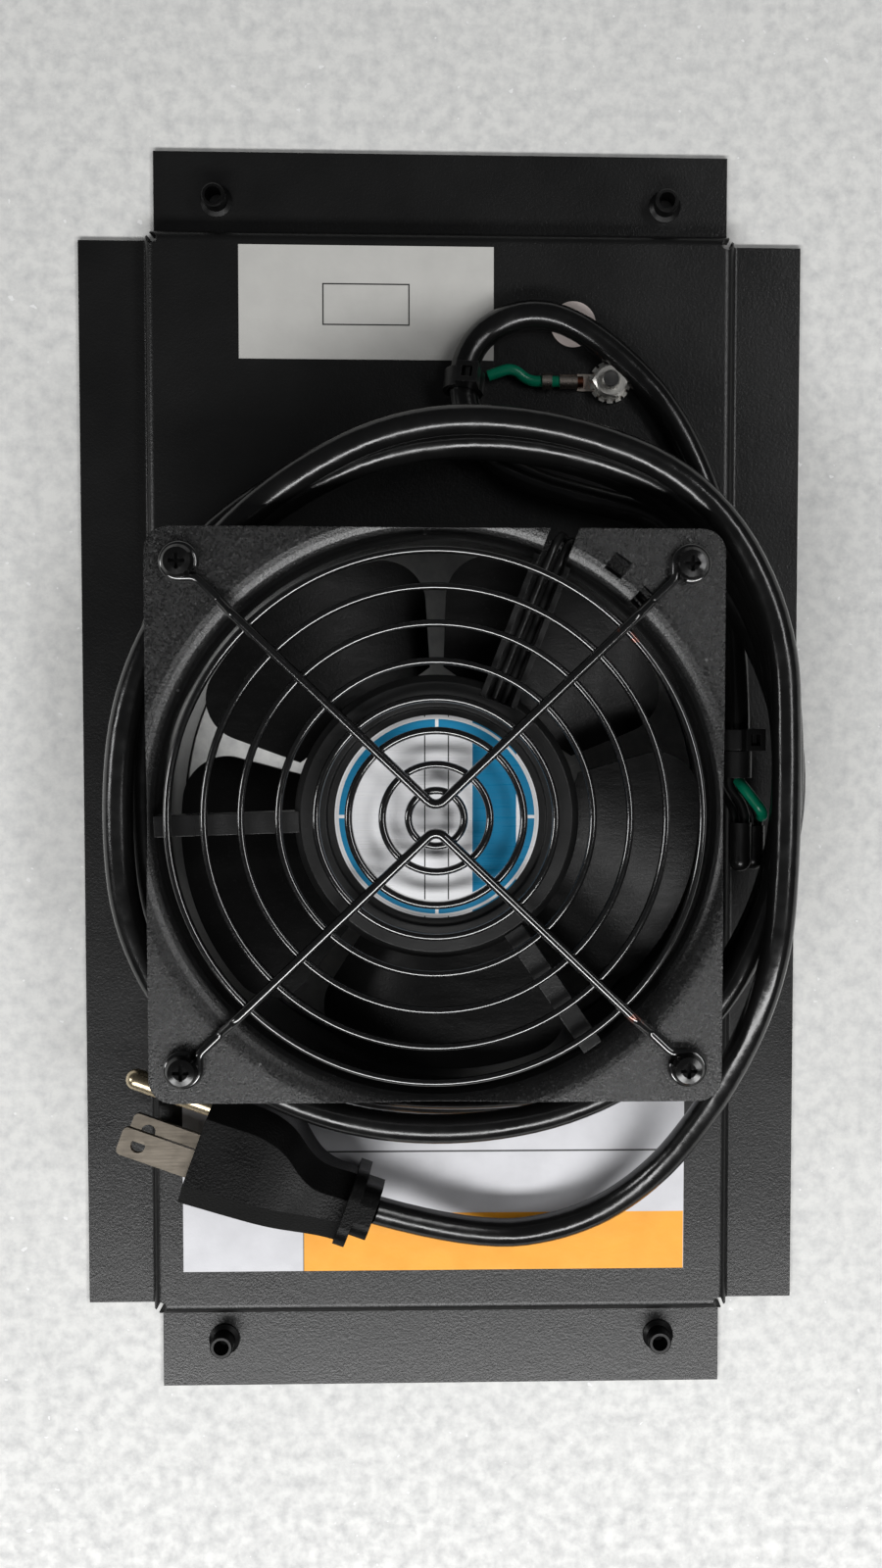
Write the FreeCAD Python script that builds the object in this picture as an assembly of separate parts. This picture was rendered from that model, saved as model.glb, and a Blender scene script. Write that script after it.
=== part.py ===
"""Rack fan tray: a raised steel tray with a finger-guarded axial fan, its power cord coiled round
the fan, a crimped ground connection and a three-pin plug.

Millimetres.  +X across the tray, +Y along it towards the ground stud, +Z out of the guard.
The origin is the middle of the tray in the plane that the four flanges rest on.
"""
import FreeCAD, Part
import math
import os

os.makedirs("parts", exist_ok=True)
Vector = FreeCAD.Vector
Z_AXIS = Vector(0, 0, 1)

# ---------------------------------------------------------------- driving dimensions
# tray
sheet = 1.2
inner_bend = 1.2
outer_bend = inner_bend + sheet
panel_rise = 6.0
tray_width = 164.0
tray_length = 284.0
side_flange = 15.7
end_flange = 18.7
corner_step = 1.3
corner_relief_r = 1.25
panel_top = panel_rise + sheet
panel_half_x = tray_width / 2 - side_flange
panel_half_y = tray_length / 2 - end_flange
side_flange_half = panel_half_y - corner_step
end_flange_half = panel_half_x - corner_step

# standoffs
standoff_pitch_x = 101.6
standoff_edge = 11.0
standoff_pitch_y = tray_length - 2 * standoff_edge
standoff_height = 6.0
standoff_r = 2.65
standoff_base_r = 3.6
standoff_base_height = 1.2
standoff_bore_r = 1.8
standoff_shank_r = 2.9

# fits
press_gap = 0.02
seat_gap = 0.05
running_gap = 0.04

# fan frame
fan_y = -5.2
fan_size = 119.5
fan_depth = 38.5
fan_corner_r = 5.0
fan_flange = 4.5
fan_hole_inset = 7.35
fan_hole_r = 2.15
bore_inset = 2.35
bell_reach = 6.6
bell_depth = 5.6
rear_lip = 1.7
rear_lip_depth = 4.2
duct_wall = 1.8
opening_step = 0.1
fan_half = fan_size / 2
fan_hole_pitch = fan_size - 2 * fan_hole_inset
bore_r = fan_half - bore_inset
tray_opening_r = bore_r + opening_step
fan_rear = panel_top
fan_front = fan_rear + fan_depth

# motor base and struts
base_r = 29.5
base_depth = 7.2
base_floor = 3.1
label_recess_r = 22.6
label_recess = 2.1
inner_step_r = 24.4
inner_step = 1.3
outer_step = 0.5
strut_width = 4.4
strut_depth = 5.0
strut_angles = (182.0, 304.0)
channel_width = 8.0
channel_groove = 5.6
channel_depth = 6.2
channel_floor = 1.6
channel_inner = (27.0, 62.0)
channel_outer = (fan_half + 8.25, 66.2)
tie_hole_radius = (fan_half + 4.45, fan_half + 2.45)
tie_hole_angle = (54.3, 46.2)
tie_hole_side = (4.1, 4.4)

# motor
bearing_r = 6.5
bearing_width = 5.0
bearing_bore_r = 2.0
tube_r = 8.0
tube_lift = 8.0
tube_rear = fan_rear + tube_lift
tube_shoulder_r = 5.6
bearing_inset = 0.5
stack_r = 21.0
stack_lift = 13.8
stack_rear = fan_rear + stack_lift
stack_length = 12.0
air_gap = 0.45
cage_wall = 3.1
cage_overhang = 2.0
cup_wall = 1.2
hub_wall = 2.4
cup_lift = 4.6
rotor_length = 25.6
cup_rear = fan_rear + cup_lift
rotor_front = cup_rear + rotor_length
cup_boss_r = 5.0
cup_boss = 1.5
retaining_ring_r = 3.2
retaining_ring = 0.5
motor_label_r = 21.2
film = 0.15

# impeller
blade_count = 5
blade_first = 55.0
blade_span = 66.0
blade_clearance = 1.4
blade_wall = 1.6
blade_lift = 5.6
blade_depth = 25.0
blade_root_chord = 54.0
blade_flat = 6.0
blade_corner_r = 9.0
blade_tip_r = bore_r - blade_clearance
blade_tip_chord = 1.5 * blade_tip_r
blade_rear = fan_rear + blade_lift
blade_front = blade_rear + blade_depth

# guard
guard_ring_shares = (0.1, 0.193, 0.314, 0.43, 0.563, 0.697, 0.828, 0.958)
guard_ring_radii = [bore_r * share for share in guard_ring_shares]
guard_wire_r = 0.8
guard_rod_r = 1.05
guard_stand = 2.6
guard_apex_gap = 4.2
guard_bend = 2.4
guard_weld = 0.1
guard_joggle_r = bore_r - 0.4
guard_joggle_run = 4.5
guard_eye_r = 3.2
guard_eye_sweep = 285.0

# screws
screw_head_r = 3.4
screw_head = 2.4
screw_shank_r = 2.05
screw_recess_r = 1.7
screw_recess_arm = 0.75
screw_recess = 1.5
screw_past = 1.0
mount_screw_length = 5.2

# ground connection
stud_at = (37.9, 90.1)
strand_length = 1.3
stud_r = 2.0
stud_head_r = 3.4
stud_head = 1.0
stud_top = 7.0
nut_across = 7.0
nut_height = 3.2
washer_r = 4.65
washer = 0.8
tongue_r = 4.1
tongue = 0.8
barrel_r = 1.65
barrel_from = 7.3
barrel_length = 4.0
grip_r = 1.85
grip_from = 13.0
grip_length = 2.2
ground_wire_r = 1.25

# labels
panel_label_left = -59.2
panel_label_width = 115.2
panel_label_edge = 10.3
panel_label_low = panel_label_edge - panel_half_y
panel_label_box = (panel_label_left, panel_label_low, panel_label_width,
                   fan_y - fan_half - 0.25 - panel_label_low)
panel_band_box = (-31.6, panel_label_low, 87.5, 13.4)
rating_label_box = (-45.2, panel_half_y - 28.4, 57.0, 25.2)
sticker_at = (stud_at[0] - 8.2, stud_at[1] + 13.1)
sticker_r = 5.1

# cord
cord_r = 3.2
cord_gap = 0.3
coil_centre = (1.0, 2.0)
coil_half = (fan_half + 17.45, fan_half + 21.75)
coil_eye_centre = (1.5, -1.0)
coil_eye_r = fan_half + 9.25
coil_rear = 14.2
coil_front = 39.6
cord_bed = panel_top + film + cord_r + cord_gap
cord_end = (fan_half + 6.15, 2.2, 17.4)
tie_gap = 0.2
tie_band = 1.1
tie_width = 4.6
tie_head = (4.8, 4.8, 3.4)
tie_head_shift = 1.5
tie_window = 2.4
tie_window_depth = 2.0
tie_end_below = 0.7
tie_one = (5.7, 89.0)
tie_two = (cord_end[0], 10.2)
splice_pocket_r = 8.6

# splice
sleeve_wall = 0.4
sleeve_length = 6.0
conductor_r = 1.05
lead_r = 0.85
lead_pitch = 2.4
lead_over = 4.5
lead_side = 3.65
lead_heights = (32.0, 22.0, 18.0, 14.5, 9.4)
cap_r = 2.5
cap_wall = 0.35
cap_mouth = 3.0
cap_places = ((fan_half + 7.2, -8.4, 18.0), (fan_half + 10.8, -9.4, 14.2))
cap_end = -19.4
core_in_cap = 1.05
lead_in_cap = 1.25

# plug
plug_at = (-14.6, -95.5)
plug_turn = 160.0
plug_half_height = 11.2
plug_z = panel_top + film + plug_half_height + 2 * press_gap
plug_length = 41.6
blade_gap = 12.7
blade_width = 6.35
blade_thick = 1.5
blade_out = 16.5
blade_in = 6.0
blade_offset = -1.9
blade_hole_r = 1.6
blade_hole_from_tip = 4.2
ground_pin_offset = 11.9
ground_pin_r = 2.4
ground_pin_out = 20.5
ground_pin_in = 8.0
ground_shank_r = 1.9
ground_shoulder = 0.1
plug_collar = (4.0, 6.6, 8.8, 5.6)
plug_barrel = (0.0, 4.0, 6.2, 4.2)
plug_sections = (
    (6.4, -7.2, 8.4, 7.6),
    (12.0, -7.2, 8.8, 8.2),
    (17.0, -8.8, 9.3, 9.6),
    (22.0, -12.6, 9.7, 10.8),
    (27.0, -14.7, 10.0, 11.2),
    (34.0, -15.2, 10.4, 11.2),
    (plug_length, -15.2, 10.8, 11.2),
)
plug_chamfer = (5.2, 4.2)


# ---------------------------------------------------------------- helpers
def cylinder(radius, z0, z1, x=0.0, y=0.0):
    return Part.makeCylinder(radius, z1 - z0, Vector(x, y, z0), Z_AXIS)


def ring(outer, inner, z0, z1, x=0.0, y=0.0):
    return cylinder(outer, z0, z1, x, y).cut(cylinder(inner, z0 - 1, z1 + 1, x, y))


def block(x0, x1, y0, y1, z0, z1):
    return Part.makeBox(x1 - x0, y1 - y0, z1 - z0, Vector(x0, y0, z0))


def rounded_block(size_x, size_y, corner, z0, z1, x=0.0, y=0.0):
    solid = block(x - size_x / 2, x + size_x / 2, y - size_y / 2, y + size_y / 2, z0, z1)
    upright = [edge for edge in solid.Edges if abs(edge.tangentAt(edge.FirstParameter).z) > 0.99]
    return solid.makeFillet(corner, upright)


def revolved(points, x=0.0, y=0.0):
    """A solid of revolution about Z from (radius, z) points."""
    wire = Part.makePolygon([Vector(x + r, y, z) for r, z in points + points[:1]])
    return Part.Face(wire).revolve(Vector(x, y, 0), Z_AXIS, 360)


def polar(radius, angle, z=0.0):
    turn = math.radians(angle)
    return Vector(radius * math.cos(turn), fan_y + radius * math.sin(turn), z)


def turned(shape, angle, centre=Vector(0, 0, 0), axis=Z_AXIS):
    copy = shape.copy()
    copy.rotate(centre, axis, angle)
    return copy


def moved(shape, x, y, z=0.0):
    copy = shape.copy()
    copy.translate(Vector(x, y, z))
    return copy


def route_wire(points, bends):
    """Straight runs through the points, joined by tangent arcs at every inner point."""
    points = [Vector(*point) for point in points]
    edges = []
    start = points[0]
    for index in range(1, len(points) - 1):
        corner = points[index]
        back = points[index - 1] - corner
        ahead = points[index + 1] - corner
        back_unit = Vector(back).normalize()
        ahead_unit = Vector(ahead).normalize()
        half_turn = (math.pi - back_unit.getAngle(ahead_unit)) / 2
        if bends:
            cut = bends * math.tan(half_turn)
        else:
            cut = 0.45 * min(back.Length, ahead.Length)
        radius = cut / math.tan(half_turn)
        arc_start = corner + back_unit * cut
        arc_end = corner + ahead_unit * cut
        inward = (back_unit + ahead_unit).normalize()
        middle = corner + inward * (radius / math.cos(half_turn) - radius)
        edges.append(Part.makeLine(start, arc_start))
        edges.append(Part.Arc(arc_start, middle, arc_end).toShape())
        start = arc_end
    edges.append(Part.makeLine(start, points[-1]))
    return Part.Wire(edges)


def tube(points, radius, bends=0.0):
    """A round tube along straight runs and tangent arcs."""
    path = route_wire(points, bends)
    first = Vector(*points[0])
    direction = (Vector(*points[1]) - first).normalize()
    circle = Part.Wire(Part.makeCircle(radius, first, direction))
    return path.makePipeShell([circle], True, True)


def on_route(points, x, y):
    """The place on a cord's centre line nearest to (x, y) in plan, and the direction there."""
    best = None
    for edge in route_wire(points, 0.0).Edges:
        steps = 24
        for step in range(steps + 1):
            at = edge.FirstParameter + (edge.LastParameter - edge.FirstParameter) * step / steps
            place = edge.valueAt(at)
            miss = math.hypot(place.x - x, place.y - y)
            if best is None or miss < best[0]:
                best = (miss, place, edge.tangentAt(at))
    return best[1], best[2]


def bend_radii(points):
    """The arc radius at every inner point of a cord's route."""
    points = [Vector(*point) for point in points]
    radii = []
    for index in range(1, len(points) - 1):
        back = points[index - 1] - points[index]
        ahead = points[index + 1] - points[index]
        half_turn = (math.pi - back.getAngle(ahead)) / 2
        radii.append(round(0.45 * min(back.Length, ahead.Length) / math.tan(half_turn), 1))
    return radii


def save(node, solids):
    solids = solids if isinstance(solids, list) else [solids]
    pieces = []
    for solid in solids:
        pieces.extend(solid.Solids)
    shape = pieces[0] if len(pieces) == 1 else Part.makeCompound(pieces)
    bad = [piece for piece in pieces if not piece.isValid() or piece.Volume < 0.01]
    print(f"{node:22s} {len(pieces):3d} solids {shape.Volume:10.1f} mm3" + ("  BAD" if bad else ""))
    shape.exportStep(f"parts/{node}.step")


# ---------------------------------------------------------------- tray
def bent_edge(web, edge, half_length):
    """One stepped edge: panel bend, web, flange bend and flange, along Y and out to +X."""
    top = panel_top
    upper = Vector(web - outer_bend, 0, top - outer_bend)
    lower = Vector(web + inner_bend, 0, sheet + inner_bend)
    diagonal = math.sqrt(0.5)

    def on_arc(centre, radius, sign):
        return centre + Vector(sign * radius * diagonal, 0, sign * radius * diagonal)

    a = Vector(web - outer_bend, 0, top)
    b = Vector(web, 0, top - outer_bend)
    c = Vector(web, 0, sheet + inner_bend)
    d = Vector(web + inner_bend, 0, sheet)
    e = Vector(edge, 0, sheet)
    f = Vector(edge, 0, 0)
    g = Vector(web + inner_bend, 0, 0)
    h = Vector(web - sheet, 0, sheet + inner_bend)
    i = Vector(web - sheet, 0, top - outer_bend)
    j = Vector(web - outer_bend, 0, top - sheet)
    edges = [
        Part.Arc(a, on_arc(upper, outer_bend, 1), b).toShape(),
        Part.makeLine(b, c),
        Part.Arc(c, on_arc(lower, inner_bend, -1), d).toShape(),
        Part.makeLine(d, e),
        Part.makeLine(e, f),
        Part.makeLine(f, g),
        Part.Arc(g, on_arc(lower, outer_bend, -1), h).toShape(),
        Part.makeLine(h, i),
        Part.Arc(i, on_arc(upper, inner_bend, 1), j).toShape(),
        Part.makeLine(j, a),
    ]
    face = Part.Face(Part.Wire(edges))
    return moved(face.extrude(Vector(0, 2 * half_length, 0)), 0, -half_length)


def fan_corners(z=0.0):
    half = fan_hole_pitch / 2
    return [Vector(sx * half, fan_y + sy * half, z) for sx in (-1, 1) for sy in (-1, 1)]


def standoff_places():
    half_x = standoff_pitch_x / 2
    half_y = standoff_pitch_y / 2
    return [(sx * half_x, sy * half_y) for sx in (-1, 1) for sy in (-1, 1)]


def make_tray():
    flat_x = panel_half_x - outer_bend
    flat_y = panel_half_y - outer_bend
    tray = block(-flat_x, flat_x, -flat_y, flat_y, panel_rise, panel_top)
    side = bent_edge(panel_half_x, tray_width / 2, side_flange_half)
    end = turned(bent_edge(panel_half_y, tray_length / 2, end_flange_half), 90)
    tray = tray.fuse([side, turned(side, 180), end, turned(end, 180)])
    relief_x = (flat_x + end_flange_half) / 2
    relief_y = (flat_y + side_flange_half) / 2
    for sx in (-1, 1):
        for sy in (-1, 1):
            tray = tray.cut(cylinder(corner_relief_r, -1, panel_top + 1, sx * relief_x, sy * relief_y))
    tray = tray.removeSplitter()
    tray = tray.cut(cylinder(tray_opening_r, 0, panel_top + 1, 0, fan_y))
    for corner in fan_corners():
        hole_r = screw_shank_r + seat_gap
        tray = tray.cut(cylinder(hole_r, 0, panel_top + 1, corner.x, corner.y))
    tray = tray.cut(cylinder(stud_r + press_gap, 0, panel_top + 1, *stud_at))
    for x, y in standoff_places():
        tray = tray.cut(cylinder(standoff_shank_r + press_gap, -1, sheet + 1, x, y))
    return tray


def make_standoffs():
    top = sheet + standoff_height
    profile = [
        (standoff_bore_r, 0.0),
        (standoff_shank_r, 0.0),
        (standoff_shank_r, sheet),
        (standoff_base_r, sheet),
        (standoff_base_r, sheet + standoff_base_height * 0.4),
        (standoff_r, sheet + standoff_base_height),
        (standoff_r, top - 0.3),
        (standoff_r - 0.3, top),
        (standoff_bore_r, top),
    ]
    return [revolved(profile, x, y) for x, y in standoff_places()]


# ---------------------------------------------------------------- fan frame
def lip_cutter(z_face, way, reach, depth):
    """The rounded mouth of the bore at one face; way is +1 at the front and -1 at the rear."""
    points = [(bore_r - 2, z_face + way), (bore_r + reach, z_face + way)]
    steps = 8
    for step in range(steps + 1):
        turn = math.pi / 2 * step / steps
        radius = bore_r + reach * (1 - math.sin(turn))
        points.append((radius, z_face - way * depth * (1 - math.cos(turn))))
    points.append((bore_r - 2, z_face - way * depth))
    return revolved(points, 0, fan_y)


def bar_between(start, end, width, z0, z1):
    """A straight bar of the given width between two places in plan."""
    run = end - start
    bar = block(0, run.Length, -width / 2, width / 2, z0, z1)
    bar = turned(bar, math.degrees(math.atan2(run.y, run.x)))
    return moved(bar, start.x, start.y)


def base_profile():
    """Section of the motor base: a stepped dish that holds the label, open towards the rotor."""
    front = fan_front
    floor_back = front - label_recess - base_floor
    skirt = front - base_depth
    return [
        (tube_r + press_gap, front - label_recess),
        (label_recess_r, front - label_recess),
        (label_recess_r + 0.4, front - inner_step),
        (inner_step_r, front - inner_step),
        (inner_step_r + 0.6, front - outer_step),
        (base_r - 1.4, front - outer_step),
        (base_r, front - outer_step - 1.4),
        (base_r, skirt),
        (base_r - 1.8, skirt),
        (base_r - 2.0, floor_back),
        (tube_r + press_gap, floor_back),
    ]


def make_fan_frame():
    frame = rounded_block(fan_size, fan_size, fan_corner_r, fan_rear, fan_rear + fan_flange, 0, fan_y)
    front = rounded_block(fan_size, fan_size, fan_corner_r, fan_front - fan_flange, fan_front, 0, fan_y)
    duct = cylinder(bore_r + duct_wall, fan_rear, fan_front, 0, fan_y)
    frame = frame.fuse([front, duct])
    frame = frame.cut(cylinder(bore_r, fan_rear - 1, fan_front + 1, 0, fan_y))
    frame = frame.cut(lip_cutter(fan_front, 1, bell_reach, bell_depth))
    frame = frame.cut(lip_cutter(fan_rear, -1, rear_lip, rear_lip_depth))

    inner = polar(*channel_inner)
    outer = polar(*channel_outer)
    inside = cylinder(bore_r + duct_wall / 2, fan_rear, fan_front + 1, 0, fan_y)
    ribs = []
    for angle in strut_angles:
        rib = bar_between(polar(base_r - 1, angle), polar(bore_r + 1, angle), strut_width,
                          fan_front - strut_depth, fan_front - 0.4)
        ribs.append(rib.common(inside))
    channel = bar_between(inner, outer, channel_width, fan_front - channel_depth, fan_front - 0.2)
    ribs.append(channel.common(inside))
    base = revolved(base_profile(), 0, fan_y)
    frame = frame.fuse(ribs + [base])

    groove_floor = fan_front - channel_depth + channel_floor
    frame = frame.cut(bar_between(inner, outer, channel_groove, groove_floor, fan_front + 1))

    for corner in fan_corners():
        frame = frame.cut(cylinder(fan_hole_r, fan_rear - 1, fan_front + 1, corner.x, corner.y))
    for radius, angle, side in zip(tie_hole_radius, tie_hole_angle, tie_hole_side):
        place = polar(radius, angle)
        hole = block(-side / 2, side / 2, -side / 2, side / 2, fan_front - fan_flange - 1, fan_front + 1)
        frame = frame.cut(moved(turned(hole, angle), place.x, place.y))
    return frame


# ---------------------------------------------------------------- motor
tube_front = fan_front - label_recess - seat_gap
front_bearing = tube_front - retaining_ring - bearing_inset - bearing_width
rear_bearing = tube_rear + bearing_inset
stator_top = stack_rear + stack_length
cage_inner = stack_r + air_gap
cage_outer = cage_inner + cage_wall
cup_inner = cage_outer + press_gap
cup_outer = cup_inner + cup_wall
hub_inner = cup_outer + press_gap
hub_r = hub_inner + hub_wall
cup_floor = cup_rear + cup_wall


def make_bearing_tube():
    profile = [
        (bearing_r + press_gap, tube_rear),
        (tube_r, tube_rear),
        (tube_r, tube_front),
        (bearing_r + press_gap, tube_front),
        (bearing_r + press_gap, front_bearing - 1.0),
        (tube_shoulder_r, front_bearing - 1.0),
        (tube_shoulder_r, rear_bearing + bearing_width),
        (bearing_r + press_gap, rear_bearing + bearing_width),
    ]
    return revolved(profile, 0, fan_y)


def make_bearing(z0):
    """A shielded ball bearing as one ring with a groove between its races on each side."""
    bore = bearing_bore_r + running_gap
    z1 = z0 + bearing_width
    profile = [
        (bore, z0), (3.2, z0), (3.3, z0 + 0.3), (5.2, z0 + 0.3), (5.3, z0),
        (bearing_r, z0), (bearing_r, z1), (5.3, z1), (5.2, z1 - 0.3), (3.3, z1 - 0.3),
        (3.2, z1), (bore, z1),
    ]
    return revolved(profile, 0, fan_y)


def make_stator_core():
    """Laminated stack: a ring on the bearing tube with four salient poles."""
    core = ring(12.0, tube_r + press_gap, stack_rear, stator_top, 0, fan_y)
    rim = ring(stack_r, stack_r - 2.2, stack_rear, stator_top, 0, fan_y)
    for index in range(4):
        pole = block(11.0, stack_r - 1, -3.4, 3.4, stack_rear, stator_top)
        core = core.fuse(moved(turned(pole, 45 + 90 * index), 0, fan_y))
        slot = block(stack_r - 4, stack_r + 1, -3.0, 3.0, stack_rear - 1, stator_top + 1)
        rim = rim.cut(moved(turned(slot, 90 * index), 0, fan_y))
    return core.fuse(rim)


def make_stator_windings():
    """One wound coil round each pole."""
    coils = []
    inner = 12.2
    outer = stack_r - 3.4
    for index in range(4):
        coil = block(inner, outer, -5.6, 5.6, stack_rear - 2.2, stator_top + 2.2)
        pole = block(inner - 1, outer + 1, -3.5, 3.5, stack_rear - 0.1, stator_top + 0.1)
        coils.append(moved(turned(coil.cut(pole), 45 + 90 * index), 0, fan_y))
    return coils


def make_rotor_cup():
    boss_top = cup_floor + cup_boss
    profile = [
        (bearing_bore_r + press_gap, cup_rear),
        (cup_outer - 1.0, cup_rear),
        (cup_outer, cup_rear + 1.0),
        (cup_outer, rotor_front),
        (cup_inner, rotor_front),
        (cup_inner, cup_floor),
        (cup_boss_r, cup_floor),
        (cup_boss_r, boss_top),
        (bearing_bore_r + press_gap, boss_top),
    ]
    return revolved(profile, 0, fan_y)


def make_rotor_cage():
    z0 = stack_rear - cage_overhang
    return ring(cage_outer, cage_inner, z0, stator_top + cage_overhang, 0, fan_y)


def make_shaft():
    top = tube_front - 0.1
    shaft = cylinder(bearing_bore_r, cup_rear, top, 0, fan_y)
    groove_z = front_bearing + bearing_width + seat_gap
    groove = ring(bearing_bore_r + 1, bearing_bore_r - 0.3, groove_z, groove_z + retaining_ring, 0, fan_y)
    return shaft.cut(groove)


def make_retaining_ring():
    z0 = front_bearing + bearing_width + seat_gap
    clip = ring(retaining_ring_r, bearing_bore_r - 0.3 + press_gap, z0 + 0.01, z0 + retaining_ring - 0.01,
                0, fan_y)
    mouth = block(0, 5, -1.1, 1.1, z0 - 1, z0 + 2)
    return clip.cut(moved(mouth, 0, fan_y))


def make_preload_spring():
    """A wave washer between the tube's shoulder and the front bearing."""
    return ring(bearing_r - 0.2, 4.2, front_bearing - 1.0 + press_gap, front_bearing - press_gap, 0, fan_y)


# ---------------------------------------------------------------- impeller
def blade_section(radius, chord, rise, wall):
    """A thin cambered section on the plane x = radius, as a closed wire."""
    middle = (blade_rear + blade_front) / 2
    camber = 0.10 * chord
    upper = []
    lower = []
    steps = 6
    for step in range(steps + 1):
        share = step / steps - 0.5
        y = chord * share
        z = middle + rise * share + camber * (1 - 4 * share * share) - camber / 2
        upper.append(Vector(radius, y, z + wall / 2))
        lower.append(Vector(radius, y, z - wall / 2))
    top = Part.BSplineCurve()
    top.interpolate(upper)
    bottom = Part.BSplineCurve()
    bottom.interpolate(lower)
    edges = [
        top.toShape(),
        Part.makeLine(upper[-1], lower[-1]),
        bottom.toShape(),
        Part.makeLine(lower[0], upper[0]),
    ]
    return Part.Wire(Part.__sortEdges__(edges))


def make_impeller():
    rise = blade_depth - blade_flat
    root = blade_section(hub_r - 3, blade_root_chord, rise, blade_wall + 0.6)
    tip = blade_section(blade_tip_r + 4, blade_tip_chord, rise, blade_wall)
    sheet_solid = Part.makeLoft([root, tip], True, True)
    half = math.radians(blade_span / 2)
    reach = blade_tip_r + 8
    plan = Part.makePolygon([
        Vector(hub_r - 2, -(hub_r - 2) * math.tan(half), 0),
        Vector(reach, -reach * math.tan(half), 0),
        Vector(reach, reach * math.tan(half), 0),
        Vector(hub_r - 2, (hub_r - 2) * math.tan(half), 0),
        Vector(hub_r - 2, -(hub_r - 2) * math.tan(half), 0),
    ])
    prism = Part.Face(plan).extrude(Vector(0, 0, fan_front))
    prism = prism.common(cylinder(blade_tip_r, 0, fan_front))
    rounded = []
    for edge in prism.Edges:
        middle = edge.valueAt((edge.FirstParameter + edge.LastParameter) / 2)
        upright = abs(edge.tangentAt(edge.FirstParameter).z) > 0.99
        if upright and math.hypot(middle.x, middle.y) > blade_tip_r - 1:
            rounded.append(edge)
    prism = prism.makeFillet(blade_corner_r, rounded)
    blade = sheet_solid.common(prism)
    blade = blade.common(block(0, fan_size, -fan_size, fan_size, blade_rear, blade_front))
    blade = blade.cut(cylinder(hub_inner + hub_wall / 2, 0, fan_front))
    hub = ring(hub_r, hub_inner, cup_rear + 0.4, rotor_front)
    blades = [turned(blade, blade_first + index * 360.0 / blade_count) for index in range(blade_count)]
    return moved(hub.fuse(blades), 0, fan_y)


# ---------------------------------------------------------------- guard
def make_guard_rings():
    z = fan_front + guard_stand
    return [Part.makeTorus(radius, guard_wire_r, Vector(0, fan_y, z)) for radius in guard_ring_radii]


def guard_arm(corner, apex, low, high):
    """One arm's bends, from the touch of its eye inwards, and the eye round the corner's screw.

    Seen from the front, each eye turns clockwise and its wire leaves on the left of the arm.
    """
    out = Vector(corner.x, corner.y - fan_y, 0).normalize()
    left = Vector(-out.y, out.x, 0)
    centre = Vector(corner.x, corner.y, 0)
    reach = (left - out).normalize() * guard_eye_r
    run = (centre - apex).Length
    along = (centre - apex).normalize()
    bends = [
        centre + reach + Vector(0, 0, low),
        centre - along * (guard_eye_r * math.sqrt(2)) + Vector(0, 0, low),
        apex + along * min(guard_joggle_r + guard_joggle_run, run) + Vector(0, 0, low),
        apex + along * guard_joggle_r + Vector(0, 0, high),
    ]
    eye = []
    for share in (1.0, 0.5, 0.0):
        point = turned(Part.Vertex(reach), -guard_eye_sweep * share).Point
        eye.append(centre + point + Vector(0, 0, low))
    return bends, eye


def make_guard_rod(side):
    """One rod bent to a V: an eye round a screw, a step up, the apex, and back out to the other."""
    high = fan_front + guard_stand + guard_wire_r + guard_rod_r - guard_weld
    low = fan_front + guard_rod_r + press_gap
    apex = Vector(0, fan_y + side * guard_apex_gap / 2, 0)
    corners = [corner for corner in fan_corners() if side * (corner.y - fan_y) > 0]
    first_bends, first_eye = guard_arm(corners[0], apex, low, high)
    last_bends, last_eye = guard_arm(corners[1], apex, low, high)
    peak = apex + Vector(0, 0, high)
    middle = route_wire([tuple(p) for p in first_bends + [peak] + last_bends[::-1]], guard_bend)
    first = Part.Arc(*first_eye).toShape()
    last = Part.Arc(*last_eye[::-1]).toShape()
    path = Part.Wire([first] + middle.Edges + [last])
    circle = Part.makeCircle(guard_rod_r, first_eye[0], first.tangentAt(first.FirstParameter))
    return path.makePipeShell([Part.Wire(circle)], True, True)


def make_guard_rods():
    return [make_guard_rod(1), make_guard_rod(-1)]


def make_screw(x, y, seat, length):
    """A cross-recessed pan head with its shank, head up, seated at the given height."""
    head = revolved([
        (0.0, seat), (screw_head_r, seat), (screw_head_r, seat + screw_head * 0.45),
        (screw_head_r * 0.82, seat + screw_head * 0.85), (screw_head_r * 0.45, seat + screw_head),
        (0.0, seat + screw_head),
    ])
    top = seat + screw_head
    arm = block(-screw_recess_r, screw_recess_r, -screw_recess_arm / 2, screw_recess_arm / 2,
                top - screw_recess, top + 1)
    head = head.cut([arm, turned(arm, 90)])
    screw = head.fuse(cylinder(screw_shank_r, seat - length, seat))
    return moved(screw, x, y)


def make_guard_screws():
    seat = fan_front + 2 * guard_rod_r + 2 * press_gap
    length = seat - (fan_front - fan_flange) + screw_past
    return [make_screw(corner.x, corner.y, seat, length) for corner in fan_corners()]


def make_fan_mount_screws():
    screws = []
    for corner in fan_corners():
        screw = make_screw(0, 0, 0, mount_screw_length)
        screw = turned(screw, 180, Vector(0, 0, 0), Vector(1, 0, 0))
        screws.append(moved(screw, corner.x, corner.y, panel_rise - press_gap))
    return screws


# ---------------------------------------------------------------- ground connection
def make_ground_stud():
    x, y = stud_at
    stud = cylinder(stud_r, panel_rise - stud_head, panel_top + stud_top, x, y)
    tip = [edge for edge in stud.Edges if abs(edge.BoundBox.ZMin - panel_top - stud_top) < 0.01
           and edge.BoundBox.ZLength < 0.01]
    stud = stud.makeChamfer(0.4, tip)
    return stud.fuse(cylinder(stud_head_r, panel_rise - stud_head, panel_rise - press_gap, x, y))


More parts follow.
